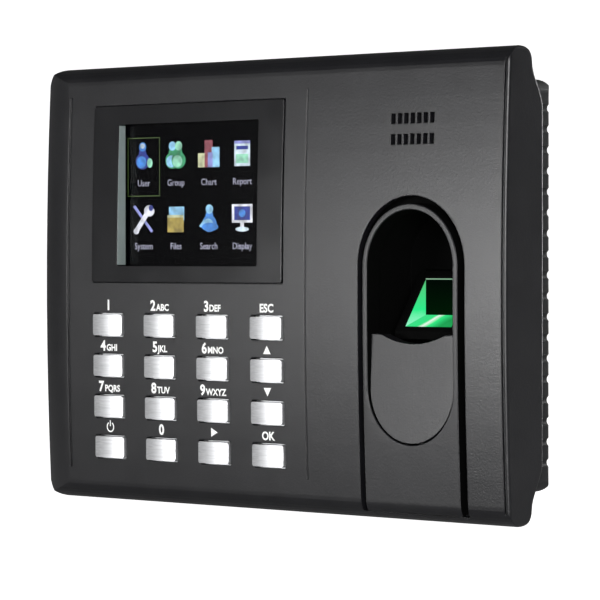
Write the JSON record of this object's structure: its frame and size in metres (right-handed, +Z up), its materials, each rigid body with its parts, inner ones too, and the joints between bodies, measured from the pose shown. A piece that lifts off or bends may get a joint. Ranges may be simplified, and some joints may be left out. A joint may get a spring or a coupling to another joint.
{
  "type": "fingerprint scanner terminal",
  "caption": "Wall-mounted fingerprint terminal with a colour display, a keypad, a speaker and an arched finger well over a lit glass prism",
  "frame": {"origin": "middle of the wall plate's back face, where the terminal meets the wall", "axes": "+X right as the user sees it, +Y into the wall, +Z up; the front faces -Y"},
  "size_m": [0.195, 0.0338, 0.138],
  "materials": {
    "case_front": "fine spark texture, charcoal",
    "case_rear": "fine texture, near black",
    "plate_steel": "zinc plated sheet",
    "screw_steel": "zinc plated",
    "display_gloss": "polished black",
    "window_clear": "clear polished",
    "screen": "lit colour display",
    "diffuser": "white diffuser",
    "tin_plate": "tinned sheet",
    "flex_film": "amber film",
    "finger_trim": "fine texture, charcoal",
    "well_black": "satin black",
    "prism_glass": "polished optical glass lit green",
    "board_green": "solder mask",
    "lamp_green": "clear lamp",
    "lens_black": "black barrel",
    "mat_rubber": "silicone",
    "foam_black": "foam",
    "cone_paper": "coated paper",
    "magnet_ferrite": "ferrite",
    "wire_red": "wire sleeve",
    "chip_black": "moulded black",
    "header_green": "moulded green",
    "button_blue": "moulded",
    "plunger_white": "moulded",
    "key_silver": "satin silver paint with fine horizontal brushing"
  },
  "bodies": {
    "case": {"front_cover": "case_front", "rear_cover": "case_rear", "wall_plate": "plate_steel", "lock_screw": "screw_steel", "case_screws": "screw_steel", "display_frame": "display_gloss", "display_window": "window_clear", "display_glass": "screen", "display_backlight": "diffuser", "display_tray": "tin_plate", "display_flex": "flex_film", "finger_surround": "finger_trim", "finger_rest": "finger_trim", "sensor_cowl": "well_black", "sensor_housing": "well_black", "sensor_prism": "prism_glass", "sensor_light_board": "board_green", "sensor_lamps": "lamp_green", "sensor_lens": "lens_black", "sensor_camera_board": "board_green", "sensor_ribbon": "flex_film", "key_mat": "mat_rubber", "key_board": "board_green", "key_board_screws": "screw_steel", "key_board_flex": "flex_film", "speaker_gasket": "foam_black", "speaker_cone": "cone_paper", "speaker_basket": "tin_plate", "speaker_magnet": "magnet_ferrite", "speaker_lead": "wire_red", "main_board": "board_green", "board_chips": "chip_black", "network_socket": "tin_plate", "usb_socket": "tin_plate", "power_jack": "chip_black", "wiring_header": "header_green", "cell_holder": "chip_black", "coin_cell": "tin_plate", "buzzer": "chip_black", "board_screws": "screw_steel", "reset_switch": "chip_black", "tamper_switch": "chip_black"},
    "key_1": {"key_1": "key_silver"},
    "key_2": {"key_2": "key_silver"},
    "key_3": {"key_3": "key_silver"},
    "key_esc": {"key_esc": "key_silver"},
    "key_4": {"key_4": "key_silver"},
    "key_5": {"key_5": "key_silver"},
    "key_6": {"key_6": "key_silver"},
    "key_up": {"key_up": "key_silver"},
    "key_7": {"key_7": "key_silver"},
    "key_8": {"key_8": "key_silver"},
    "key_9": {"key_9": "key_silver"},
    "key_down": {"key_down": "key_silver"},
    "key_power": {"key_power": "key_silver"},
    "key_0": {"key_0": "key_silver"},
    "key_right": {"key_right": "key_silver"},
    "key_ok": {"key_ok": "key_silver"},
    "reset_button": {"reset_button": "button_blue"},
    "tamper_plunger": {"tamper_plunger": "plunger_white"}
  },
  "joints": [
    {"name": "key_1_press", "type": "slide", "parent": "case", "child": "key_1", "axis": [0, 1, 0], "range_m": [0, 0.001], "stiffness_N_per_m": 600},
    {"name": "key_2_press", "type": "slide", "parent": "case", "child": "key_2", "axis": [0, 1, 0], "range_m": [0, 0.001], "stiffness_N_per_m": 600},
    {"name": "key_3_press", "type": "slide", "parent": "case", "child": "key_3", "axis": [0, 1, 0], "range_m": [0, 0.001], "stiffness_N_per_m": 600},
    {"name": "key_esc_press", "type": "slide", "parent": "case", "child": "key_esc", "axis": [0, 1, 0], "range_m": [0, 0.001], "stiffness_N_per_m": 600},
    {"name": "key_4_press", "type": "slide", "parent": "case", "child": "key_4", "axis": [0, 1, 0], "range_m": [0, 0.001], "stiffness_N_per_m": 600},
    {"name": "key_5_press", "type": "slide", "parent": "case", "child": "key_5", "axis": [0, 1, 0], "range_m": [0, 0.001], "stiffness_N_per_m": 600},
    {"name": "key_6_press", "type": "slide", "parent": "case", "child": "key_6", "axis": [0, 1, 0], "range_m": [0, 0.001], "stiffness_N_per_m": 600},
    {"name": "key_up_press", "type": "slide", "parent": "case", "child": "key_up", "axis": [0, 1, 0], "range_m": [0, 0.001], "stiffness_N_per_m": 600},
    {"name": "key_7_press", "type": "slide", "parent": "case", "child": "key_7", "axis": [0, 1, 0], "range_m": [0, 0.001], "stiffness_N_per_m": 600},
    {"name": "key_8_press", "type": "slide", "parent": "case", "child": "key_8", "axis": [0, 1, 0], "range_m": [0, 0.001], "stiffness_N_per_m": 600},
    {"name": "key_9_press", "type": "slide", "parent": "case", "child": "key_9", "axis": [0, 1, 0], "range_m": [0, 0.001], "stiffness_N_per_m": 600},
    {"name": "key_down_press", "type": "slide", "parent": "case", "child": "key_down", "axis": [0, 1, 0], "range_m": [0, 0.001], "stiffness_N_per_m": 600},
    {"name": "key_power_press", "type": "slide", "parent": "case", "child": "key_power", "axis": [0, 1, 0], "range_m": [0, 0.001], "stiffness_N_per_m": 600},
    {"name": "key_0_press", "type": "slide", "parent": "case", "child": "key_0", "axis": [0, 1, 0], "range_m": [0, 0.001], "stiffness_N_per_m": 600},
    {"name": "key_right_press", "type": "slide", "parent": "case", "child": "key_right", "axis": [0, 1, 0], "range_m": [0, 0.001], "stiffness_N_per_m": 600},
    {"name": "key_ok_press", "type": "slide", "parent": "case", "child": "key_ok", "axis": [0, 1, 0], "range_m": [0, 0.001], "stiffness_N_per_m": 600},
    {"name": "reset_press", "type": "slide", "parent": "case", "child": "reset_button", "axis": [0, -1, 0], "range_m": [0, 0.0004], "stiffness_N_per_m": 1200},
    {"name": "tamper_press", "type": "slide", "parent": "case", "child": "tamper_plunger", "axis": [0, -1, 0], "range_m": [0, 0.002], "stiffness_N_per_m": 200}
  ]
}
